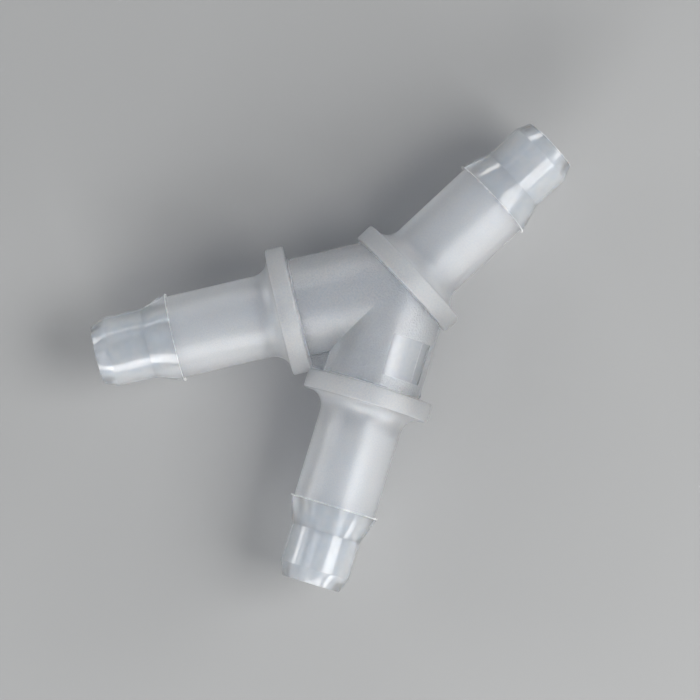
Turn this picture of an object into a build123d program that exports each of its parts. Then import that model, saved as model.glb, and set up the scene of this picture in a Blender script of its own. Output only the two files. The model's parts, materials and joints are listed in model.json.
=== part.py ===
from build123d import *
import math
import os

# A moulded barbed Y connector for flexible hose. All sizes are in millimetres.
# One stem and two arms meet in a hub, and each branch carries the same barbed spigot:
# a collar that stops the hose, a shank that it grips, a barb that holds it and a nose that leads it on.
# The fitting lies flat. Its three axes are level, the stem points along +X, the left arm is on the
# +Y side and the right arm on the -Y side, and it rests on its three collar rims at Z = 0.

# The spigot, the same on all three branches
bore_diameter = 4.9
collar_diameter = 12.45
collar_thickness = 1.8
collar_edge_radius = 0.2
neck_fillet_radius = 1.7
shank_diameter = 8.0
shank_length = 10.4  # from the collar's outer face to the barb
barb_rise = 0.32  # how far the barb's crest stands out from the shank
crest_land = 0.13
barb_taper_length = 2.5
nose_diameter = 6.9
nose_length = 3.7
lead_in_length = 1.4
tip_wall = 0.425  # the plastic left round the bore at the tip

# The hub
stub_diameter = 9.7
arm_spread = 60.0  # degrees between the two arms' axes
arm_reach = 10.45  # from where the axes meet to each arm collar's inner face
stem_setback = 0.1  # the stem collar's inner face lies this far behind that point

# The thin web between the two stubs
web_thickness = 1.3

# The smooth pad on the outer side of the right stub, deepest at its lower edge
pad_start = 5.05  # from where the axes meet, along the arm
pad_length = 4.05
pad_depth = 0.16
pad_lower_edge = 24.0  # degrees above the level of the axes

# Sizes that follow from those above
bore_radius = bore_diameter / 2
collar_radius = collar_diameter / 2
shank_radius = shank_diameter / 2
crest_radius = shank_radius + barb_rise
nose_radius = nose_diameter / 2
tip_radius = bore_radius + tip_wall
stub_radius = stub_diameter / 2
neck_end = collar_thickness + neck_fillet_radius
barb_start = collar_thickness + shank_length
nose_start = barb_start + crest_land + barb_taper_length
lead_in_start = nose_start + nose_length
spigot_length = lead_in_start + lead_in_length
half_spread = math.radians(arm_spread / 2)
far = 2 * (arm_reach + spigot_length)  # longer than any branch

# Each branch: the turn of its axis from +X, and where its collar's inner face lies along it
branches = {
    "stem": (0.0, -stem_setback),
    "left": (180.0 - arm_spread / 2, arm_reach),
    "right": (180.0 + arm_spread / 2, arm_reach),
}


def turned(*outline):
    """Turn a closed outline, x along the branch and y from its axis, about the X axis."""
    return revolve(make_face(outline), Axis.X)


def turned_polygon(*points):
    """Turn the polygon through these (along, radius) points about the X axis."""
    return turned(Polyline(*points, close=True))


def rod(radius, start, end):
    """A plain round rod on the X axis between two places along it."""
    length = end - start
    return Pos(start + length / 2, 0, 0) * Rot(0, 90, 0) * Cylinder(radius, length)


def on_branch(name, shape):
    """Turn a shape made along the X axis onto a branch's axis."""
    turn, _ = branches[name]
    return Rot(0, 0, turn) * shape


def make_collar():
    """The hose stop: a disc with softened rim corners and a filleted neck down to the shank."""
    edge = collar_edge_radius
    rim = collar_radius - edge
    neck_top = shank_radius + neck_fillet_radius
    return turned(
        Line((0, 0), (0, rim)),
        CenterArc((edge, rim), edge, 90, 90),
        Line((edge, collar_radius), (collar_thickness - edge, collar_radius)),
        CenterArc((collar_thickness - edge, rim), edge, 0, 90),
        Line((collar_thickness, rim), (collar_thickness, neck_top)),
        CenterArc((neck_end, neck_top), neck_fillet_radius, 180, 90),
        Line((neck_end, shank_radius), (neck_end, 0)),
        Line((neck_end, 0), (0, 0)),
    )


def make_shank():
    """The plain round that the hose grips, from the neck to the back of the barb."""
    return rod(shank_radius, neck_end, barb_start)


def make_barb():
    """The barb that holds the hose: a square step up to a narrow crest, then a taper to the nose."""
    return turned_polygon(
        (barb_start, 0),
        (barb_start, crest_radius),
        (barb_start + crest_land, crest_radius),
        (nose_start, nose_radius),
        (nose_start, 0),
    )


def make_nose():
    """The pilot nose with its conical lead-in."""
    return turned_polygon(
        (nose_start, 0),
        (nose_start, nose_radius),
        (lead_in_start, nose_radius),
        (spigot_length, tip_radius),
        (spigot_length, 0),
    )


def make_pad_cut():
    """What the pad removes: the crescent between the stub and the same round moved inwards."""
    window = Pos(pad_start + pad_length / 2, 0, 0) * Box(pad_length, far, far)
    above_lower_edge = Rot(pad_lower_edge, 0, 0) * Pos(0, 0, far / 4) * Box(far, far, far / 2)
    outer_side = Pos(0, far / 2 - pad_depth, 0) * Box(far, far, far)
    moved_inwards = Pos(0, -pad_depth, 0) * rod(stub_radius, 0, arm_reach)
    around = rod(2 * stub_radius, 0, arm_reach) - moved_inwards
    return around & window & above_lower_edge & outer_side


def make_hub():
    """Two round stubs that run together and end flat on the stem collar's inner face."""
    stub = rod(stub_radius, -far / 2, arm_reach)
    past_stem_collar = Pos(far / 2 - stem_setback, 0, 0) * Box(far, far, far)
    stubs = on_branch("left", stub) + on_branch("right", stub) - past_stem_collar
    return stubs - on_branch("right", make_pad_cut())


def make_web():
    """The thin web in the crotch, level with the axes, out to where the arm collars' faces meet."""
    side = (-arm_reach * math.cos(half_spread), arm_reach * math.sin(half_spread))
    corner = (-arm_reach / math.cos(half_spread), 0)
    kite = make_face(Polyline((0, 0), side, corner, (side[0], -side[1]), close=True))
    web = extrude(kite, web_thickness / 2, both=True)
    for name in ("left", "right"):
        web -= on_branch(name, rod(stub_radius, -far / 2, far / 2))
    return web


def make_nodes():
    """Make every section of the fitting in its place about the point where the axes meet."""
    solids = {"wye_hub": make_hub()}
    spigot = {"collar": make_collar(), "shank": make_shank(), "barb": make_barb(), "nose": make_nose()}
    for name, (_, collar_face) in branches.items():
        for section, shape in spigot.items():
            solids[name + "_" + section] = on_branch(name, Pos(collar_face, 0, 0) * shape)
    # the two arm collars run into each other at the crotch, and meet on the fitting's mirror plane
    solids["left_collar"] -= Pos(0, -far / 2, 0) * Box(far, far, far)
    solids["right_collar"] -= Pos(0, far / 2, 0) * Box(far, far, far)
    # the passages are three straight bores from where the axes meet out through the tips
    for name in branches:
        bore = on_branch(name, rod(bore_radius, 0, far / 2))
        for node in solids:
            solids[node] -= bore
    solids["crotch_web"] = make_web()
    return solids


def arm_outer_corner(direction):
    """How far the arms reach in a level direction, given as the (along, radius) parts of it."""
    corners = [
        (arm_reach + barb_start + crest_land, crest_radius),
        (arm_reach + lead_in_start, nose_radius),
        (arm_reach + spigot_length, tip_radius),
    ]
    return max(along * direction[0] + radius * direction[1] for along, radius in corners)


# The origin is under the middle of the fitting's outline, on the surface that it rests on
front = spigot_length - stem_setback
back = -arm_outer_corner((math.cos(half_spread), math.sin(half_spread)))
place = Pos(-(front + back) / 2, 0, collar_radius)

os.makedirs("parts", exist_ok=True)
for node, solid in make_nodes().items():
    export_step(place * solid, "parts/" + node + ".step")
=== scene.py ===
"""The looks of a moulded barbed Y connector for hose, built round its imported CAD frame."""

import json
import logging
import math
from dataclasses import dataclass, field
from enum import Enum

import bpy
import numpy as np
from mathutils import Matrix, Vector


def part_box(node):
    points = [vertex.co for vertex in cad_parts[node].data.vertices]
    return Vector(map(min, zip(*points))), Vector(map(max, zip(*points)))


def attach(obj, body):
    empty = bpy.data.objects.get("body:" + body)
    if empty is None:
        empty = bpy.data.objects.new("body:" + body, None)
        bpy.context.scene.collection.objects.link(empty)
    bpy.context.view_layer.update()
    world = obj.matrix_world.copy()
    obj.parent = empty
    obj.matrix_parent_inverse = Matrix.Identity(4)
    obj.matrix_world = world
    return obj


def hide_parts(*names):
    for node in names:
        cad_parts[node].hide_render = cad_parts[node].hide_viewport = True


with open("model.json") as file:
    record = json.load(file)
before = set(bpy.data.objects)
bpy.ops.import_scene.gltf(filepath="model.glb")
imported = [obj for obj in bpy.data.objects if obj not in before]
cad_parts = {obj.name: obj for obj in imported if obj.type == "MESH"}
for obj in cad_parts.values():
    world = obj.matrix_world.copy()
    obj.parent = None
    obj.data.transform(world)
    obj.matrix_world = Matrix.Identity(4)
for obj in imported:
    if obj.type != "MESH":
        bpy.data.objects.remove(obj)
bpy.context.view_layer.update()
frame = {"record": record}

LOG = logging.getLogger("wye")
MM = 0.001
UP = np.array([0.0, 0.0, 1.0])
CORNER_SHARE = 0.4  # the most of a line that the softening of one of its corners may take
IN_PLANE = 1e-6  # metres: how far a face's centre may lie from the plane that it is in
SQUARE = 0.999  # how near one a normal's share of a direction is when it points along it


def to_linear(code: str) -> tuple[float, float, float, float]:
    """Turn an sRGB hex colour into the linear colour that a shader takes.

    Args:
        code: six hex digits, red, green and blue.

    Returns:
        Linear red, green, blue and an alpha of 1.
    """
    channels = np.array([int(code[i:i + 2], 16) for i in (0, 2, 4)]) / 255.0
    linear = np.where(channels <= 0.04045, channels / 12.92, ((channels + 0.055) / 1.055) ** 2.4)
    return (*linear.tolist(), 1.0)


class Branch(Enum):
    """The three branches of the fitting, by the names that their parts carry."""

    STEM = "stem"
    LEFT = "left"
    RIGHT = "right"


@dataclass(frozen=True)
class BranchLine:
    """Where one branch lies: its axis from the meeting point of the three to its tip."""

    meeting: np.ndarray
    along: np.ndarray
    across: np.ndarray
    length: float
    bore_radius: float

    @classmethod
    def of(cls, branch: Branch) -> "BranchLine":
        """Read a branch's line from the mount at the mouth of its bore.

        Args:
            branch: the branch.

        Returns:
            Its line, in metres in the frame of the fitting.
        """
        mounts = {m["name"]: m for m in frame["record"]["mounts"]}
        mouth = mounts[branch.value + "_bore"]
        along = np.array(mouth["axis"], float)
        length = mouth["dims"]["length_mm"] * MM
        meeting = np.array(mouth["pos_m"], float) - along * length
        return cls(meeting, along, np.cross(UP, along), length, mouth["dims"]["r_mm"] * MM)

    def points(self, along: np.ndarray, radius: np.ndarray, turn: np.ndarray) -> np.ndarray:
        """Place cylindrical coordinates about the branch.

        A point is the axis point plus the radius times the cosine of the turn to the side and the
        sine of the turn upwards.

        Args:
            along: distances from the meeting point.
            radius: distances from the axis.
            turn: turns about the axis, from the branch's left side up over its top.

        Returns:
            Points, with a last axis of three.
        """
        side = (radius * np.cos(turn))[..., None] * self.across
        rise = (radius * np.sin(turn))[..., None] * UP
        return self.meeting + along[..., None] * self.along + side + rise

    def coordinates(self, places: np.ndarray) -> tuple[np.ndarray, np.ndarray, np.ndarray]:
        """Measure points along the branch, to its left side and upwards.

        Args:
            places: one row each.

        Returns:
            The three distances of every point.
        """
        offset = places - self.meeting
        return offset @ self.along, offset @ self.across, offset @ UP


def node_span(node: str, axis: int) -> tuple[float, float]:
    """Read how far a CAD node reaches along one axis of the frame."""
    low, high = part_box(node)
    return low[axis], high[axis]


def half_height(node: str) -> float:
    """Read a round section's radius from how tall its CAD node is."""
    low, high = node_span(node, 2)
    return (high - low) / 2


@dataclass(frozen=True)
class SpigotSizes:
    """The sizes of one spigot, in metres, lengths counted outwards from the collar's inner face."""

    collar_radius: float = field(default_factory=lambda: half_height("stem_collar"))
    stub_radius: float = field(default_factory=lambda: half_height("wye_hub"))
    shank_radius: float = field(default_factory=lambda: half_height("stem_shank"))
    crest_radius: float = field(default_factory=lambda: half_height("stem_barb"))
    nose_radius: float = field(default_factory=lambda: half_height("stem_nose"))
    collar_thickness: float = 1.8 * MM
    collar_edge: float = 0.2 * MM
    root_fillet: float = 0.15 * MM
    crest_land: float = 0.13 * MM
    lead_in: float = 1.4 * MM
    tip_wall: float = 0.425 * MM
    mouth_edge: float = 0.12 * MM
    crisp_edge: float = 0.06 * MM

    @property
    def neck_end(self) -> float:
        """Where the neck's fillet runs out on the shank."""
        return node_span("stem_collar", 0)[1] - node_span("stem_collar", 0)[0]

    @property
    def barb_start(self) -> float:
        """Where the barb's step stands on the shank."""
        return node_span("stem_barb", 0)[0] - node_span("stem_collar", 0)[0]

    @property
    def nose_start(self) -> float:
        """Where the taper ends and the nose begins."""
        return node_span("stem_nose", 0)[0] - node_span("stem_collar", 0)[0]

    @property
    def tip(self) -> float:
        """Where the spigot ends."""
        return node_span("stem_nose", 0)[1] - node_span("stem_collar", 0)[0]

    def collar_face(self, line: BranchLine) -> float:
        """Where a branch's collar starts, from the meeting point."""
        return line.length - self.tip


@dataclass(frozen=True)
class PadSizes:
    """The smooth pad on the outer side of the right stub, with turns in degrees above the side."""

    start: float = 5.05 * MM
    length: float = 4.05 * MM
    depth: float = 0.16 * MM
    lower_edge: float = 24.0
    upper_edge: float = 80.0
    run_out: float = 92.0
    witness: float = 38.6
    witness_half_width: float = 1.0
    witness_height: float = 0.04 * MM


def arc(centre: tuple[float, float], radius: float, start: float, end: float, steps: int = 6) -> np.ndarray:
    """Sample a round corner of an outline: centre plus radius times the cosine and sine of the turn.

    Args:
        centre: the arc's centre, along and out from the axis.
        radius: the arc's radius.
        start: its first turn in degrees.
        end: its last turn in degrees.
        steps: how many points.

    Returns:
        The points, one row each.
    """
    turn = np.radians(np.linspace(start, end, steps))
    return np.column_stack([centre[0] + radius * np.cos(turn), centre[1] + radius * np.sin(turn)])


def soften(outline: np.ndarray, reach: float, steps: int = 4) -> np.ndarray:
    """Round every corner of an open outline with a quadratic curve.

    Each corner gives way to points at (1-t)^2, 2t(1-t) and t^2 of the point before it, itself and
    the point after it, where the outer two lie a given distance from the corner.

    Args:
        outline: the corners, one row each.
        reach: how far from each corner the curve starts.
        steps: points for each corner.

    Returns:
        The softened outline.
    """
    before, corner, after = outline[:-2], outline[1:-1], outline[2:]
    back, ahead = before - corner, after - corner
    back_length = np.linalg.norm(back, axis=1, keepdims=True)
    ahead_length = np.linalg.norm(ahead, axis=1, keepdims=True)
    start = corner + back / back_length * np.minimum(reach, back_length * CORNER_SHARE)
    end = corner + ahead / ahead_length * np.minimum(reach, ahead_length * CORNER_SHARE)
    t = np.linspace(0, 1, steps)[None, :, None]
    curve = (1 - t) ** 2 * start[:, None] + 2 * t * (1 - t) * corner[:, None] + t ** 2 * end[:, None]
    return np.vstack([outline[:1], curve.reshape(-1, 2), outline[-1:]])


def even_turns(steps: int, shift: float = 0.0) -> np.ndarray:
    """Divide a full turn into equal steps, the first one a share of a step on from the side."""
    return (np.arange(steps) + shift) * 2 * math.pi / steps


def hump(distance: np.ndarray) -> np.ndarray:
    """A raised cosine: one at no distance, and nothing from a distance of one on."""
    return 0.5 * (1 + np.cos(math.pi * np.clip(distance, 0, 1)))


def ring_faces(rings: int, steps: int) -> list[list[int]]:
    """Number the faces of a closed stack of rings with a pole at each end.

    Args:
        rings: how many rings.
        steps: points on each ring.

    Returns:
        Quads between the rings and triangles to the poles, which are the last two points.
    """
    i, j = np.meshgrid(np.arange(rings - 1), np.arange(steps), indexing="ij")
    k = (j + 1) % steps
    quads = np.stack([i * steps + j, i * steps + k, (i + 1) * steps + k, (i + 1) * steps + j], -1)
    j = np.arange(steps)
    k = (j + 1) % steps
    first, last = rings * steps, rings * steps + 1
    start_fan = np.stack([np.full(steps, first), k, j], -1)
    end_fan = np.stack([np.full(steps, last), (rings - 1) * steps + j, (rings - 1) * steps + k], -1)
    return quads.reshape(-1, 4).tolist() + start_fan.tolist() + end_fan.tolist()


def prism_faces(corners: int) -> list[list[int]]:
    """Number the faces of a prism, whose points are its bottom's corners and then its top's.

    Args:
        corners: how many corners the bottom has.

    Returns:
        The bottom, the top and the sides.
    """
    i = np.arange(corners)
    k = (i + 1) % corners
    sides = np.stack([i, k, k + corners, i + corners], -1)
    return [i[::-1].tolist(), (i + corners).tolist()] + sides.tolist()


def signed_volume(mesh: bpy.types.Mesh) -> float:
    """Add up the tetrahedra from the origin to each triangle of a closed mesh.

    Args:
        mesh: the mesh.

    Returns:
        Its volume, which is positive if its faces point outwards.
    """
    mesh.calc_loop_triangles()
    corners = np.empty(len(mesh.loop_triangles) * 3, np.int32)
    mesh.loop_triangles.foreach_get("vertices", corners)
    places = np.empty(len(mesh.vertices) * 3)
    mesh.vertices.foreach_get("co", places)
    a, b, c = np.moveaxis(places.reshape(-1, 3)[corners.reshape(-1, 3)], 1, 0)
    return float(np.einsum("ij,ij->i", a, np.cross(b, c)).sum() / 6)


def make_object(name: str, points: np.ndarray, faces: list[list[int]]) -> bpy.types.Object:
    """Put points and faces into a mesh whose faces all point outwards.

    Args:
        name: the object's name.
        points: one row each, in metres.
        faces: point numbers of each face.

    Returns:
        The new object.
    """
    mesh = bpy.data.meshes.new(name)
    mesh.from_pydata(points.tolist(), [], faces)
    mesh.update()
    if signed_volume(mesh) < 0:
        mesh.flip_normals()
    made = bpy.data.objects.new(name, mesh)
    bpy.context.scene.collection.objects.link(made)
    return made


def make_turned(name: str, line: BranchLine, along: np.ndarray, radius: np.ndarray,
                turn: np.ndarray) -> bpy.types.Object:
    """Make a closed solid of rings about a branch, with a pole on the axis at each end.

    Args:
        name: the object's name.
        line: the branch.
        along: how far along the branch each point lies, one row for each ring.
        radius: how far from the axis it lies.
        turn: the turn of each point on a ring.

    Returns:
        The solid.
    """
    rings = line.points(along, radius, np.broadcast_to(turn, along.shape)).reshape(-1, 3)
    poles = line.points(along[[0, -1]].mean(1), np.zeros(2), np.zeros(2))
    return make_object(name, np.vstack([rings, poles]), ring_faces(len(along), len(turn)))


def combine(base: bpy.types.Object, tool: bpy.types.Object, operation: str) -> None:
    """Join a solid to another, cut it out of it or keep what they share, and drop it.

    Args:
        base: the solid that is changed.
        tool: the other solid, removed afterwards.
        operation: UNION, DIFFERENCE or INTERSECT.
    """
    cut = base.modifiers.new("combine", "BOOLEAN")
    cut.object, cut.operation, cut.solver = tool, operation, "MANIFOLD"
    done = bpy.data.meshes.new_from_object(base.evaluated_get(bpy.context.evaluated_depsgraph_get()))
    done.materials.clear()
    base.modifiers.clear()
    old = base.data
    base.data = done
    bpy.data.meshes.remove(old)
    bpy.data.objects.remove(tool)


@dataclass(frozen=True)
class Ridge:
    """The fine line that the mould's two halves leave round the fitting at the height of its axes."""

    height: float = 0.03 * MM
    half_width: float = 0.05 * MM

    def turns(self, radius: float, steps: int) -> np.ndarray:
        """Space the turns round a section evenly, with a few more close to the two sides.

        Args:
            radius: the section's radius.
            steps: how many even turns.

        Returns:
            The turns in radians, in order.
        """
        close = np.array([-1.0, -0.5, 0.5, 1.0]) * self.half_width / radius
        sides = np.concatenate([close, math.pi + close]) % (2 * math.pi)
        return np.sort(np.concatenate([even_turns(steps), sides]))

    def rise(self, turn: np.ndarray, radius: float) -> np.ndarray:
        """The ridge's height at each turn: a hump over the distance from the nearer side."""
        off = np.abs(radius * np.arcsin(np.clip(np.sin(turn), -1, 1)))
        return self.height * hump(off / self.half_width)


@dataclass
class Moulding:
    """The whole moulding's skin: three turned branches run together, with their bores taken out."""

    sizes: SpigotSizes
    pad: PadSizes
    ridge: Ridge = field(default_factory=Ridge)
    steps: int = 176
    end_ring: float = 0.3  # how far out the last ring of a closed end lies, of the end's radius
    step_guard: float = 0.36 * MM
    hub_overlap: float = 0.6 * MM
    bore_overlap: float = 0.1 * MM
    mouth_overlap: float = 0.02 * MM
    web_overlap: float = 0.3 * MM
    cutter_overlap: float = 1.0 * MM
    pad_steps: int = 35
    witness_steps: int = 9

    def spigot_outline(self, is_arm: bool) -> np.ndarray:
        """Draw the spigot's outline from the collar's inner face to the tip.

        Args:
            is_arm: whether the outline starts on a stub, with a small fillet up to the collar.

        Returns:
            Points, distance from the inner face and radius.
        """
        s = self.sizes
        edge, thick = s.collar_edge, s.collar_thickness
        fillet = s.neck_end - thick
        rim = s.collar_radius - edge
        root = np.array([(0.0, self.end_ring * s.collar_radius)])
        if is_arm:
            root = arc((-s.root_fillet, s.stub_radius + s.root_fillet), s.root_fillet, 270, 360, 5)
        collar = np.vstack([
            arc((edge, rim), edge, 180, 90),
            arc((thick - edge, rim), edge, 90, 0),
            arc((s.neck_end, s.shank_radius + fillet), fillet, 180, 270, 14),
        ])
        step = np.array([
            (s.barb_start - self.step_guard, s.shank_radius),
            (s.barb_start, s.shank_radius),
            (s.barb_start, s.crest_radius),
            (s.barb_start + s.crest_land, s.crest_radius),
        ])
        tip_radius = BranchLine.of(Branch.STEM).bore_radius + s.tip_wall
        nose = soften(np.array([
            (s.barb_start + s.crest_land, s.crest_radius),
            (s.nose_start, s.nose_radius),
            (s.tip - s.lead_in, s.nose_radius),
            (s.tip, tip_radius),
            (s.tip, self.end_ring * tip_radius),
        ]), s.crisp_edge)
        return np.vstack([root, collar, step, nose[1:]])

    def branch_solid(self, branch: Branch) -> bpy.types.Object:
        """Turn a branch's outline about its axis, an arm's with its stub back into the stem collar.

        A stub's first ring lies in a plane square to the stem, so a point on it is
        where its own straight line along the arm meets that plane.

        Args:
            branch: the branch.

        Returns:
            A closed solid without its bore.
        """
        line, s = BranchLine.of(branch), self.sizes
        face = s.collar_face(line)
        turn = self.ridge.turns(s.shank_radius, self.steps)
        outline = self.spigot_outline(branch is not Branch.STEM)
        along = np.repeat((outline[:, 0] + face)[:, None], len(turn), 1)
        radius = np.repeat(outline[:, 1][:, None], len(turn), 1)
        if branch is not Branch.STEM:
            start = (self.hub_overlap - s.stub_radius * np.cos(turn) * line.across[0]) / line.along[0]
            along = np.vstack([start[None], along])
            radius = np.vstack([np.full((1, len(turn)), s.stub_radius), radius])
        ridged = along < face + s.barb_start - IN_PLANE
        radius = radius + np.where(ridged, self.ridge.rise(turn, s.shank_radius)[None], 0)
        return make_turned(branch.value + "_solid", line, along, radius, turn)

    def bore_cutter(self, branch: Branch) -> bpy.types.Object:
        """Make the rod that a branch's bore takes out, flared a little at the tip.

        Its corners lie halfway between the skin's in turn, so that no edge of one lies along an
        edge of the other.

        Args:
            branch: the branch.

        Returns:
            A closed solid, from just behind the meeting point to past the tip.
        """
        line, edge = BranchLine.of(branch), self.sizes.mouth_edge
        flare = line.length + self.mouth_overlap - edge
        outline = np.vstack([
            [(-self.bore_overlap, line.bore_radius)],
            arc((flare, line.bore_radius + edge), edge, 270, 360),
            [(line.length + self.cutter_overlap, line.bore_radius + edge)],
        ])
        along = np.repeat(outline[:, :1], self.steps, 1)
        radius = np.repeat(outline[:, 1:], self.steps, 1)
        return make_turned(branch.value + "_bore", line, along, radius, even_turns(self.steps, 0.5))

    def web_solid(self) -> bpy.types.Object:
        """Make the flat web in the crotch: a kite between the two axes, a little into both arm collars.

        Returns:
            A closed solid.
        """
        left, right = BranchLine.of(Branch.LEFT), BranchLine.of(Branch.RIGHT)
        low, high = node_span("crotch_web", 2)
        reach = self.sizes.collar_face(left) + self.web_overlap
        corner = -reach / left.along[0]
        kite = np.array([
            left.meeting,
            left.meeting + left.along * reach,
            left.meeting - np.array([corner, 0.0, 0.0]),
            right.meeting + right.along * reach,
        ])
        bottom, top = kite.copy(), kite.copy()
        bottom[:, 2], top[:, 2] = low, high
        return make_object("web_solid", np.vstack([bottom, top]), prism_faces(len(kite)))

    def pad_cutter(self) -> bpy.types.Object:
        """Make the crescent that leaves the smooth pad on the outer side of the right stub.

        Its inner wall is the stub's round moved inwards by the pad's depth d: at a turn t the wall
        lies -d cos t + sqrt(R^2 - d^2 sin^2 t) from the axis, so the cut runs out near the top. A
        fine witness line of the insert that moulded the pad stands on it as a hump.

        Returns:
            A closed solid.
        """
        line, pad, stub = BranchLine.of(Branch.RIGHT), self.pad, self.sizes.stub_radius
        beside = pad.witness + np.linspace(-1, 1, self.witness_steps) * pad.witness_half_width
        even = np.linspace(pad.lower_edge, pad.run_out, self.pad_steps)
        degrees = np.sort(np.concatenate([even, beside]))
        turn = np.radians(degrees)
        wall = np.sqrt(stub ** 2 - (pad.depth * np.sin(turn)) ** 2) - pad.depth * np.cos(turn)
        wall = wall + pad.witness_height * hump(np.abs(degrees - pad.witness) / pad.witness_half_width)
        outside = np.full(len(turn), stub + self.cutter_overlap)
        radius = np.tile(np.concatenate([wall, outside]), (2, 1))
        around = np.tile(np.concatenate([turn, turn[::-1]]), (2, 1))
        along = np.repeat(np.array([[pad.start], [pad.start + pad.length]]), radius.shape[1], 1)
        points = line.points(along, radius, around).reshape(-1, 3)
        return make_object("pad_cut", points, prism_faces(radius.shape[1]))

    def build(self) -> bpy.types.Object:
        """Join the solids, then take out the pad and the bores.

        Returns:
            The closed skin of the moulding.
        """
        skin = self.branch_solid(Branch.STEM)
        for part in (self.branch_solid(Branch.LEFT), self.branch_solid(Branch.RIGHT), self.web_solid()):
            combine(skin, part, "UNION")
        combine(skin, self.pad_cutter(), "DIFFERENCE")
        for branch in Branch:
            combine(skin, self.bore_cutter(branch), "DIFFERENCE")
        skin.name = "moulding"
        return skin


class Section(Enum):
    """The sections of a spigot, by the names that their parts carry."""

    COLLAR = "collar"
    SHANK = "shank"
    BARB = "barb"
    NOSE = "nose"


class Face(Enum):
    """What a face of a section belongs to, by the material slot that it takes."""

    SKIN = 0
    JOIN = 1
    BORE = 2
    SATIN = 3
    PAD = 4
    WEB = 5


@dataclass(frozen=True)
class Join:
    """A flat place where the moulding is divided: a point on it and the way it faces."""

    point: np.ndarray
    facing: np.ndarray

    def holds(self, centres: np.ndarray, normals: np.ndarray) -> np.ndarray:
        """Say which faces lie in the join's plane."""
        near = np.abs((centres - self.point) @ self.facing) < IN_PLANE
        return near & (np.abs(normals @ self.facing) > SQUARE)


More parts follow.
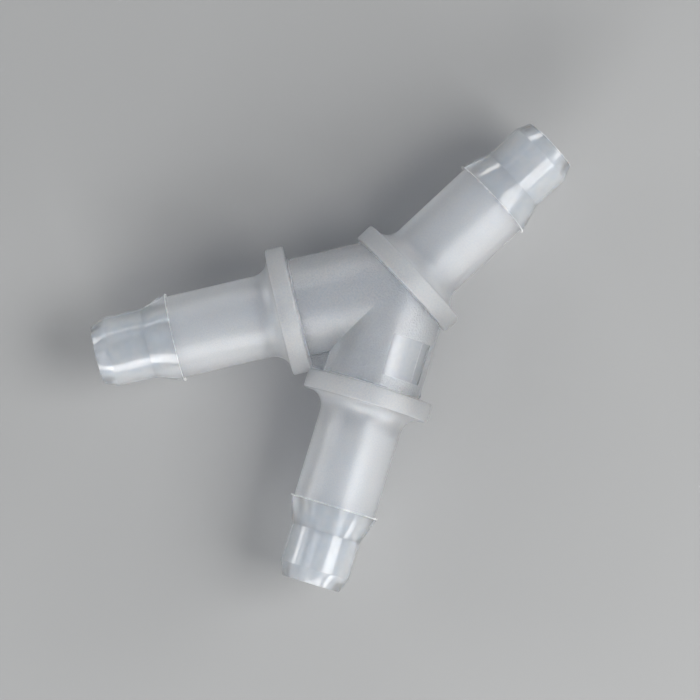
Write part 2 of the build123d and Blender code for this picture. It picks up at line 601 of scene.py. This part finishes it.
@dataclass
class Division:
    """Divides the skin into its named sections, each closed by a flat join where it runs on."""

    skin: bpy.types.Object
    sizes: SpigotSizes
    pad: PadSizes
    clear_of_corner: float = 0.05 * MM
    reach: float = 8.0 * MM
    far: float = 100.0 * MM
    slack: float = 0.024 * MM

    def stations(self, branch: Branch) -> dict[Section, tuple[float, float]]:
        """Work out where each section starts and ends, a little clear of the corners of the outline.

        Args:
            branch: the branch.

        Returns:
            Distances from the meeting point, by section.
        """
        s = self.sizes
        face = s.collar_face(BranchLine.of(branch))
        root = 0.0 if branch is Branch.STEM else s.root_fillet
        marks = [
            face - root - self.clear_of_corner,
            face + s.neck_end + self.clear_of_corner,
            face + s.barb_start - self.clear_of_corner,
            face + s.nose_start,
            face + s.tip + self.reach,
        ]
        return {section: (marks[i], marks[i + 1]) for i, section in enumerate(Section)}

    def block(self, branch: Branch, start: float, end: float, half_width: float) -> bpy.types.Object:
        """Make a square block about a branch's axis.

        Args:
            branch: the branch.
            start: where it starts, from the meeting point.
            end: where it ends.
            half_width: how far it reaches from the axis.

        Returns:
            A closed solid.
        """
        turn = np.radians([45, 135, 225, 315])
        corner = np.full((2, len(turn)), half_width * math.sqrt(2))
        along = np.repeat(np.array([[start], [end]]), len(turn), 1)
        points = BranchLine.of(branch).points(along, corner, np.tile(turn, (2, 1))).reshape(-1, 3)
        return make_object("block", points, prism_faces(len(turn)))

    def half_space(self, sign: float) -> bpy.types.Object:
        """Make a block on one side of the fitting's mirror plane, the plane Y = 0.

        Args:
            sign: the sign of Y on that side.

        Returns:
            A closed solid.
        """
        x = self.far * np.array([-1.0, 1.0, 1.0, -1.0])
        y = self.far * sign * np.array([0.0, 0.0, 1.0, 1.0])
        z = np.full(len(x), self.far)
        points = np.vstack([np.column_stack([x, y, -z]), np.column_stack([x, y, z])])
        return make_object("side", points, prism_faces(len(x)))

    def copy(self, name: str) -> bpy.types.Object:
        """Copy the whole skin.

        Args:
            name: the copy's name.

        Returns:
            The copy.
        """
        made = bpy.data.objects.new(name, self.skin.data.copy())
        made.data.name = name
        bpy.context.scene.collection.objects.link(made)
        return made

    def hub(self) -> bpy.types.Object:
        """Keep what lies inside all three collars: the two stubs and the web between them.

        Returns:
            The hub, with its faces marked.
        """
        piece = self.copy("moulded_wye_hub")
        joins = []
        for branch in Branch:
            start = self.stations(branch)[Section.COLLAR][0]
            line = BranchLine.of(branch)
            combine(piece, self.block(branch, -self.far, start, self.far), "INTERSECT")
            joins.append(Join(line.meeting + line.along * start, line.along))
        self.mark_faces(piece, joins)
        return piece

    def section(self, branch: Branch, section: Section) -> bpy.types.Object:
        """Keep one section of a spigot.

        Args:
            branch: the branch.
            section: the section.

        Returns:
            The section, with its faces marked.
        """
        piece = self.copy("moulded_" + branch.value + "_" + section.value)
        start, end = self.stations(branch)[section]
        line = BranchLine.of(branch)
        combine(piece, self.block(branch, start, end, self.reach), "INTERSECT")
        joins = [Join(line.meeting + line.along * place, line.along) for place in (start, end)]
        if section is Section.COLLAR and branch is not Branch.STEM:
            combine(piece, self.half_space(1.0 if branch is Branch.LEFT else -1.0), "INTERSECT")
            joins.append(Join(np.zeros(3), np.array([0.0, 1.0, 0.0])))
        self.mark_faces(piece, joins)
        return piece

    def mark_faces(self, piece: bpy.types.Object, joins: list[Join]) -> None:
        """Sort a piece's faces into its skin, its joins, its bores and what smoother steel moulded.

        A bore's faces are no further from a branch's axis than the bore is wide. The necks beyond
        the collars are smoother than the collars, and so is the pad, whose faces lie within its
        length and between its two edges, on the right stub. The web's faces lie at its top and
        bottom, inside the collars. A join's faces lie in its plane.

        Args:
            piece: the divided piece.
            joins: where it was divided.
        """
        centres, normals = face_values(piece, "center"), face_values(piece, "normal")
        kind = np.full(len(centres), Face.SKIN.value, np.int32)
        for branch in Branch:
            line, s = BranchLine.of(branch), self.sizes
            along, side, rise = line.coordinates(centres)
            radius = np.hypot(side, rise)
            past_collar = along > s.collar_face(line) + s.collar_thickness - self.slack
            kind[past_collar & (radius < s.collar_radius - s.collar_edge)] = Face.SATIN.value
            kind[(along > 0) & (radius < line.bore_radius + self.slack)] = Face.BORE.value
            if branch is Branch.RIGHT:
                kind[self.on_pad(along, radius, np.degrees(np.arctan2(rise, side)))] = Face.PAD.value
        for height in node_span("crotch_web", 2):
            kind[Join(UP * height, UP).holds(centres, normals)] = Face.WEB.value
        for join in joins:
            kind[join.holds(centres, normals)] = Face.JOIN.value
        piece.data.polygons.foreach_set("material_index", kind)

    def on_pad(self, along: np.ndarray, radius: np.ndarray, turn: np.ndarray) -> np.ndarray:
        """Say which faces lie on the pad: within its length and edges, and near the stub's surface.

        Args:
            along: how far each face lies along the right arm.
            radius: how far it lies from the arm's axis.
            turn: its turn in degrees above the arm's side.

        Returns:
            True or false for each face.
        """
        pad = self.pad
        in_length = (along > pad.start) & (along < pad.start + pad.length)
        in_width = (turn > pad.lower_edge) & (turn < pad.upper_edge)
        return in_length & in_width & (radius > self.sizes.stub_radius - 2 * pad.depth)


def face_values(piece: bpy.types.Object, what: str) -> np.ndarray:
    """Read the centre or the normal of every face.

    Args:
        piece: the piece.
        what: center or normal.

    Returns:
        One row for each face.
    """
    values = np.empty(len(piece.data.polygons) * 3)
    piece.data.polygons.foreach_get(what, values)
    return values.reshape(-1, 3)


@dataclass(frozen=True)
class Flash:
    """The ragged film that squeezed out where two parts of the mould meet round a branch."""

    thickness: float = 0.04 * MM
    least: float = 0.012 * MM
    most: float = 0.30 * MM
    lean: float = 0.8
    waves: tuple[int, ...] = (2, 3, 5, 9)
    neighbour_share: float = 0.2
    steps: int = 420

    def ragged(self, seed: int) -> np.ndarray:
        """Work out how far the film reaches at each turn.

        A few slow waves say where it is wide, and a random value for each step, cubed so that
        most of it is short and mixed a little with its neighbours, makes it ragged.

        Args:
            seed: the film's own random seed.

        Returns:
            Distances, one for each step.
        """
        chance = np.random.default_rng(seed)
        turn = even_turns(self.steps)
        wide = sum(np.cos(k * turn + chance.uniform(0, 2 * math.pi)) for k in self.waves)
        torn = chance.random(self.steps) ** 3
        beside = np.roll(torn, 1) + np.roll(torn, -1)
        torn = (1 - 2 * self.neighbour_share) * torn + self.neighbour_share * beside
        wide = np.clip(0.5 + wide / len(self.waves), 0.0, 1.0)
        return self.least + (self.most - self.least) * wide * torn

    def ring(self, name: str, line: BranchLine, start: float, radius: float, seed: int,
             backwards: bool) -> bpy.types.Object:
        """Carry the film's three-cornered section round a branch.

        Args:
            name: the piece's name.
            line: the branch.
            start: where its root lies along the branch.
            radius: how far its root lies from the axis.
            seed: the film's own random seed.
            backwards: whether it leans back towards the collar.

        Returns:
            A closed ring.
        """
        reach = self.ragged(seed)
        root = np.full(self.steps, start)
        sunk = np.full(self.steps, radius - 0.5 * self.thickness)
        edge = root - self.lean * reach if backwards else root
        along = np.stack([root, edge, root + self.thickness])
        out = np.stack([sunk, radius + (1 - self.lean / 2) * reach, sunk])
        points = line.points(along, out, np.broadcast_to(even_turns(self.steps), along.shape))
        i, j = np.meshgrid(np.arange(len(along)), np.arange(self.steps), indexing="ij")
        k, m = (i + 1) % len(along), (j + 1) % self.steps
        faces = np.stack([i, i, k, k], -1) * self.steps + np.stack([j, m, m, j], -1)
        return make_object(name, points.reshape(-1, 3), faces.reshape(-1, 4).tolist())


@dataclass(frozen=True)
class Nub:
    """The small stub left where the moulding was snapped off its runner, beside the right collar."""

    from_collar: float = 0.55 * MM
    radius: float = 0.22 * MM
    height: float = 0.16 * MM
    sunk: float = 0.032 * MM
    first_slope: float = 0.05
    lobes: int = 3
    lobe_depth: float = 0.12
    lobe_turn: float = 1.0
    rings: int = 8
    steps: int = 24

    def build(self, sizes: SpigotSizes) -> bpy.types.Object:
        """Raise a dome on the stub's outer side.

        A ring is the radius times the sine of its slope across and the height times the cosine
        of it up, and slow lobes round it make it uneven.

        Args:
            sizes: the sizes of the fitting.

        Returns:
            A closed solid, sunk a little into the stub.
        """
        line = BranchLine.of(Branch.RIGHT)
        slope = np.linspace(self.first_slope, 1.0, self.rings)[:, None] * math.pi / 2
        turn = even_turns(self.steps)[None]
        lobes = 1 + self.lobe_depth * np.cos(self.lobes * turn + self.lobe_turn)
        spread = self.radius * np.sin(slope) * lobes
        rise = np.repeat(self.height * np.cos(slope), self.steps, 1)
        foot = line.meeting + line.along * (sizes.collar_face(line) - self.from_collar)
        foot = foot + line.across * (sizes.stub_radius - self.sunk)
        rings = foot + (spread * np.cos(turn))[..., None] * line.along
        rings = rings + (spread * np.sin(turn))[..., None] * UP + rise[..., None] * line.across
        poles = np.array([foot + line.across * self.height, foot])
        points = np.vstack([rings.reshape(-1, 3), poles])
        return make_object("runner_nub", points, ring_faces(self.rings, self.steps))


def add_node(tree: bpy.types.NodeTree, kind: str, settings: dict | None = None, inputs: dict | None = None,
             links: dict | None = None) -> bpy.types.Node:
    """Add a shader node with its settings, input values and links.

    Args:
        tree: the material's node tree.
        kind: the node's type name.
        settings: attribute names and values.
        inputs: socket names and constant values.
        links: socket names and the output sockets that feed them.

    Returns:
        The node.
    """
    node = tree.nodes.new(kind)
    for key, value in (settings or {}).items():
        setattr(node, key, value)
    for key, value in (inputs or {}).items():
        node.inputs[key].default_value = value
    for key, source in (links or {}).items():
        tree.links.new(source, node.inputs[key])
    return node


def new_material(name: str) -> bpy.types.Material:
    """Make a material with an empty node tree.

    Args:
        name: what it is.

    Returns:
        The material.
    """
    made = bpy.data.materials.new(name)
    made.use_nodes = True
    made.node_tree.nodes.clear()
    return made


@dataclass(frozen=True)
class Polypropylene:
    """Natural moulded polypropylene: milky, so some light passes bent and blurred and some scatters.

    The steel that it was moulded on gives it its skin. Spark-eroded steel leaves a grain that
    frosts it, and polished steel leaves it clear and glossy. The peak colour is the plastic's own
    tone, and the pit colour is that tone painted darker where the grain is low: a painted shade in
    the grain's pits. The spread is the part of the noise that goes from one to the other, and the
    fine share is how much each finer layer of the noise counts.
    """

    name: str
    peak_colour: str
    # painted shade: the plastic's tone darkened in the grain's pits
    pit_shade_colour: str
    roughness: float
    transmission: float
    grain_mm: float
    grain_depth_mm: float
    scatter_mm: float
    detail: float = 3.0
    fine_share: float = 0.6
    spread: tuple[float, float] = (0.35, 0.65)
    ior: float = 1.49
    scatter_balance: tuple[float, float, float] = (1.0, 0.92, 0.85)

    def make(self) -> bpy.types.Material:
        """Build the material.

        Returns:
            A material whose grain is worked out from its size in millimetres.
        """
        made = new_material(self.name)
        tree = made.node_tree
        place = add_node(tree, "ShaderNodeTexCoord")
        grain = add_node(
            tree, "ShaderNodeTexNoise",
            inputs={
                "Scale": 1 / (self.grain_mm * MM), "Detail": self.detail, "Roughness": self.fine_share,
            },
            links={"Vector": place.outputs["Object"]})
        spread = add_node(
            tree, "ShaderNodeMapRange", inputs={"From Min": self.spread[0], "From Max": self.spread[1]},
            links={"Value": grain.outputs["Fac"]})
        # The noise that raises the bump also paints the grain's low places in the pit colour: a painted
        # shade in the pits, over the plastic's own tone.
        colour = add_node(
            tree, "ShaderNodeMix", settings={"data_type": "RGBA"},
            inputs={6: to_linear(self.pit_shade_colour), 7: to_linear(self.peak_colour)},
            links={0: spread.outputs["Result"]})
        bump = add_node(
            tree, "ShaderNodeBump", inputs={"Strength": 1.0, "Distance": self.grain_depth_mm * MM},
            links={"Height": spread.outputs["Result"]})
        surface = add_node(
            tree, "ShaderNodeBsdfPrincipled",
            inputs={
                "Roughness": self.roughness, "IOR": self.ior, "Transmission Weight": self.transmission,
                "Subsurface Weight": 1.0, "Subsurface Radius": self.scatter_balance,
                "Subsurface Scale": self.scatter_mm * MM,
            },
            links={"Base Color": colour.outputs[2], "Normal": bump.outputs["Normal"]})
        add_node(tree, "ShaderNodeOutputMaterial", links={"Surface": surface.outputs["BSDF"]})
        return made


# The hub's spark grain is deep enough to glint where a lamp catches it, and it blurs the bores
# behind it. The real grain is a few hundredths of a millimetre wide, and is drawn wider to show.
GRAINED_HUB = Polypropylene(
    name="spark_grained_polypropylene", peak_colour="F9FBFF", pit_shade_colour="EBF1FA",
    roughness=0.20, transmission=0.83, grain_mm=0.17, grain_depth_mm=0.022, scatter_mm=4.0, detail=2.0)

# The collars' grain is finer and closer, and they are solid, so they look whiter and more even.
GRAINED_RIM = Polypropylene(
    name="fine_grained_polypropylene_rim", peak_colour="FAFCFF", pit_shade_colour="E8EEF8",
    roughness=0.28, transmission=0.77, grain_mm=0.13, grain_depth_mm=0.020, scatter_mm=4.0)

# Steel rubbed to a satin gives the necks and shanks broad soft highlights and hardly any grain.
SATIN_SHANK = Polypropylene(
    name="satin_polypropylene", peak_colour="F9FBFF", pit_shade_colour="ECF1FA",
    roughness=0.34, transmission=0.77, grain_mm=0.12, grain_depth_mm=0.008, scatter_mm=4.0, detail=2.0)

# The pad's smooth insert leaves it clearer and bluer than the grained stub round it.
SMOOTH_PAD = Polypropylene(
    name="smooth_polypropylene_pad", peak_colour="F4F8FF", pit_shade_colour="ECF2FD",
    roughness=0.19, transmission=0.88, grain_mm=0.40, grain_depth_mm=0.002, scatter_mm=3.0, detail=1.0)

# The web is thin, so little light scatters in it and the shade behind it shows through. Its
# grain's pits are painted darker than the hub's, a painted shade.
THIN_WEB = Polypropylene(
    name="grained_polypropylene_web", peak_colour="FCFEFF", pit_shade_colour="DDE2EA",
    roughness=0.25, transmission=0.94, grain_mm=0.22, grain_depth_mm=0.03, scatter_mm=2.0)

# The barbs, noses and bores were moulded on polished steel: glossy and clearer, with the slow
# unevenness of plastic that flowed in cold.
POLISHED_TIP = Polypropylene(
    name="polished_polypropylene", peak_colour="F6FAFF", pit_shade_colour="EDF3FC",
    roughness=0.11, transmission=0.87, grain_mm=0.90, grain_depth_mm=0.0005, scatter_mm=1.5, detail=1.0)

# Flash turns white and matt where it is stretched and torn, and lets no light through.
TORN_FILM = Polypropylene(
    name="torn_polypropylene_film", peak_colour="FFFFFF", pit_shade_colour="FAFBFC",
    roughness=0.50, transmission=0.0, grain_mm=0.08, grain_depth_mm=0.005, scatter_mm=0.1)


@dataclass(frozen=True)
class RunsOn:
    """A join's finish: nothing at all to the eye, because the plastic runs on without a break."""

    name: str = "plastic_runs_on"

    def make(self) -> bpy.types.Material:
        """Build the material."""
        made = new_material(self.name)
        clear = add_node(made.node_tree, "ShaderNodeBsdfTransparent")
        add_node(made.node_tree, "ShaderNodeOutputMaterial", links={"Surface": clear.outputs["BSDF"]})
        return made


class Slot(Enum):
    """The record's material slots."""

    BODY = "grained_body"
    SHANK = "satin_shank"
    TIP = "polished_tip"


@dataclass
class Wye:
    """The whole fitting: its divided moulding, the small faults on it, and the finishes of both."""

    sizes: SpigotSizes = field(default_factory=SpigotSizes)
    pad: PadSizes = field(default_factory=PadSizes)
    barb_flash: Flash = field(default_factory=Flash)
    tip_flash: Flash = Flash(thickness=0.024 * MM, least=0.006 * MM, most=0.24 * MM)
    nub: Nub = field(default_factory=Nub)
    barb_flash_seed: int = 11
    tip_flash_seed: int = 23
    corner_angle: float = 30.0
    grained: bpy.types.Material = field(default_factory=GRAINED_HUB.make)
    rim: bpy.types.Material = field(default_factory=GRAINED_RIM.make)
    satin: bpy.types.Material = field(default_factory=SATIN_SHANK.make)
    smooth: bpy.types.Material = field(default_factory=SMOOTH_PAD.make)
    thin: bpy.types.Material = field(default_factory=THIN_WEB.make)
    polished: bpy.types.Material = field(default_factory=POLISHED_TIP.make)
    torn: bpy.types.Material = field(default_factory=TORN_FILM.make)
    join: bpy.types.Material = field(default_factory=RunsOn().make)

    def dress(self, piece: bpy.types.Object, nodes: list[str],
              finishes: list[bpy.types.Material]) -> bpy.types.Object:
        """Dress a piece, shade it smooth between its real corners and stand it in for its CAD nodes.

        Args:
            piece: the piece.
            nodes: the CAD nodes that it replaces.
            finishes: its materials, in the order of Face.

        Returns:
            The piece.
        """
        for finish in finishes:
            piece.data.materials.append(finish)
        piece.data.polygons.foreach_set("use_smooth", np.ones(len(piece.data.polygons), bool))
        piece.data.set_sharp_from_angle(angle=math.radians(self.corner_angle))
        shading = piece.modifiers.new("even_shading", "WEIGHTED_NORMAL")
        shading.keep_sharp = True
        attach(piece, "root")
        if nodes:
            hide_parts(*nodes)
        return piece

    def build_sections(self) -> list[bpy.types.Object]:
        """Build the moulding, divide it and stand its sections in for the CAD nodes.

        Returns:
            The dressed sections.
        """
        skin = Moulding(self.sizes, self.pad).build()
        division = Division(skin, self.sizes, self.pad)
        hub_finishes = [self.grained, self.join, self.polished, self.satin, self.smooth, self.thin]
        pieces = [self.dress(division.hub(), ["wye_hub", "crotch_web"], hub_finishes)]
        looks = {
            Section.COLLAR: (Slot.BODY, self.rim),
            Section.SHANK: (Slot.SHANK, self.satin),
            Section.BARB: (Slot.TIP, self.polished),
            Section.NOSE: (Slot.TIP, self.polished),
        }
        for branch in Branch:
            for section, (slot, finish) in looks.items():
                neck = self.satin if section is Section.COLLAR else finish
                node = branch.value + "_" + section.value
                finishes = [finish, self.join, self.polished, neck]
                pieces.append(self.dress(division.section(branch, section), [node], finishes))
        bpy.data.objects.remove(skin)
        return pieces

    def build_faults(self) -> list[bpy.types.Object]:
        """Build the flash at the barbs and on the stem's tip, and the nub of the runner.

        Returns:
            The dressed faults.
        """
        pieces = []
        for number, branch in enumerate(Branch):
            line = BranchLine.of(branch)
            step = self.sizes.collar_face(line) + self.sizes.barb_start
            film = self.barb_flash.ring(
                branch.value + "_barb_flash", line, step, self.sizes.crest_radius,
                self.barb_flash_seed + number, True)
            pieces.append(self.dress(film, [], [self.torn]))
        stem = BranchLine.of(Branch.STEM)
        film = self.tip_flash.ring(
            "stem_tip_flash", stem, stem.length - self.tip_flash.thickness,
            stem.bore_radius + self.sizes.tip_wall, self.tip_flash_seed, False)
        pieces.append(self.dress(film, [], [self.torn]))
        pieces.append(self.dress(self.nub.build(self.sizes), [], [self.grained]))
        return pieces


@dataclass(frozen=True)
class Softbox:
    """A soft lamp that faces the fitting. Its radiance is how bright its face is, where 1 is white."""

    name: str
    bearing: float  # degrees anticlockwise from the right of the camera's picture
    elevation: float  # degrees above the floor
    width: float
    height: float
    radiance: float
    distance: float = 0.45
    colour: str = "FFFCF8"

    def hang(self, target: Vector, right: Vector, up: Vector) -> None:
        """Hang the lamp.

        Args:
            target: what it faces.
            right: the right of the camera's picture.
            up: the top of the camera's picture.
        """
        lamp = bpy.data.lights.new(self.name, "AREA")
        lamp.shape, lamp.size, lamp.size_y = "RECTANGLE", self.width, self.height
        lamp.energy = self.radiance * math.pi * self.width * self.height
        lamp.color = to_linear(self.colour)[:3]
        turn, rise = math.radians(self.bearing), math.radians(self.elevation)
        flat = right * math.cos(turn) + up * math.sin(turn)
        flat.z = 0
        away = flat.normalized() * math.cos(rise) + Vector((0, 0, math.sin(rise)))
        hung = bpy.data.objects.new(self.name, lamp)
        hung.location = target + away * self.distance
        hung.rotation_euler = (-away).to_track_quat("-Z", "Y").to_euler()
        bpy.context.scene.collection.objects.link(hung)


@dataclass(frozen=True)
class Camera:
    """The camera, almost overhead: where it stands as seen from its target, and how it is rolled."""

    target: Vector = Vector((-4.088, -1.254, 6.225)) * MM
    bearing: float = -111.8795  # degrees anticlockwise from the X axis
    elevation: float = 86.3486  # degrees above the floor
    roll: float = -21.2324  # degrees
    distance: float = 376.32 * MM
    lens: float = 199.2  # its focal length in millimetres
    sensor: float = 36.0  # its width in millimetres
    nearest: float = 0.01
    furthest: float = 10.0

    def directions(self) -> tuple[Vector, Vector, Vector]:
        """Work out the right and the top of the picture and the way back to the camera.

        A level camera's right and top are turned about the way back by the roll.

        Returns:
            Three unit vectors.
        """
        turn, rise, roll = (math.radians(a) for a in (self.bearing, self.elevation, self.roll))
        level = Vector((-math.sin(turn), math.cos(turn), 0.0))
        back = Vector((math.cos(turn), math.sin(turn), 0.0)) * math.cos(rise)
        back.z = math.sin(rise)
        top = back.cross(level)
        right = level * math.cos(roll) + top * math.sin(roll)
        return right, top * math.cos(roll) - level * math.sin(roll), back

    def stand(self) -> None:
        """Stand the camera in its place and make it the scene's."""
        right, up, back = self.directions()
        lens = bpy.data.cameras.new("camera")
        lens.lens, lens.sensor_width = self.lens, self.sensor
        lens.clip_start, lens.clip_end = self.nearest, self.furthest
        eye = bpy.data.objects.new("camera", lens)
        turn = Matrix((right, up, back)).transposed().to_4x4()
        eye.matrix_world = Matrix.Translation(self.target + back * self.distance) @ turn
        bpy.context.scene.collection.objects.link(eye)
        bpy.context.scene.camera = eye


@dataclass
class Studio:
    """The pale floor, the soft lights all round, and the camera."""

    camera: Camera = field(default_factory=Camera)
    floor_colour: str = "9C9EA0"
    floor_roughness: float = 0.55
    floor_reach: float = 1.0
    surround: float = 0.15
    surround_colour: str = "D4DEEC"
    low_lights: int = 5
    first_bearing: float = 20.0

    def lay_floor(self) -> None:
        """Lay the floor that the fitting rests on."""
        corners = np.array([(-1, -1, 0), (1, -1, 0), (1, 1, 0), (-1, 1, 0)]) * self.floor_reach
        floor = make_object("floor", corners, [[0, 1, 2, 3]])
        paint = new_material("pale_floor")
        surface = add_node(
            paint.node_tree, "ShaderNodeBsdfPrincipled",
            inputs={"Base Color": to_linear(self.floor_colour), "Roughness": self.floor_roughness})
        add_node(paint.node_tree, "ShaderNodeOutputMaterial", links={"Surface": surface.outputs["BSDF"]})
        floor.data.materials.append(paint)

    def light_surround(self) -> None:
        """Give the room its dim, slightly blue light."""
        world = bpy.data.worlds.new("studio")
        world.use_nodes = True
        sky = world.node_tree.nodes["Background"]
        sky.inputs["Color"].default_value = to_linear(self.surround_colour)
        sky.inputs["Strength"].default_value = self.surround
        bpy.context.scene.world = world

    def softboxes(self) -> list[Softbox]:
        """List the lamps: a low ring that lights the edges, and two that give the long highlights."""
        step = 360 / self.low_lights
        ring = [
            Softbox(
                "low_light_%d" % (i * step), bearing=self.first_bearing + i * step, elevation=14,
                width=0.24, height=0.10, radiance=7.5)
            for i in range(self.low_lights)
        ]
        right = Softbox("right_light", bearing=-12, elevation=46, width=0.32, height=0.26, radiance=6.8)
        front = Softbox("front_light", bearing=-100, elevation=25, width=0.36, height=0.20, radiance=7.2)
        return ring + [right, front]

    def build(self) -> None:
        """Make the floor, the surroundings, the lamps and the camera."""
        self.lay_floor()
        self.light_surround()
        bpy.context.scene.view_settings.view_transform = "Standard"
        right, up, _ = self.camera.directions()
        for softbox in self.softboxes():
            softbox.hang(self.camera.target, right, up)
        self.camera.stand()


def main() -> None:
    """Build the fitting, report each of its pieces, and build the studio round it."""
    logging.basicConfig(level=logging.INFO, format="%(name)s: %(message)s")
    fitting = Wye()
    for piece in fitting.build_sections() + fitting.build_faults():
        LOG.info("%s: %d faces", piece.name, len(piece.data.polygons))
    Studio().build()


if __name__ == "__main__":
    main()
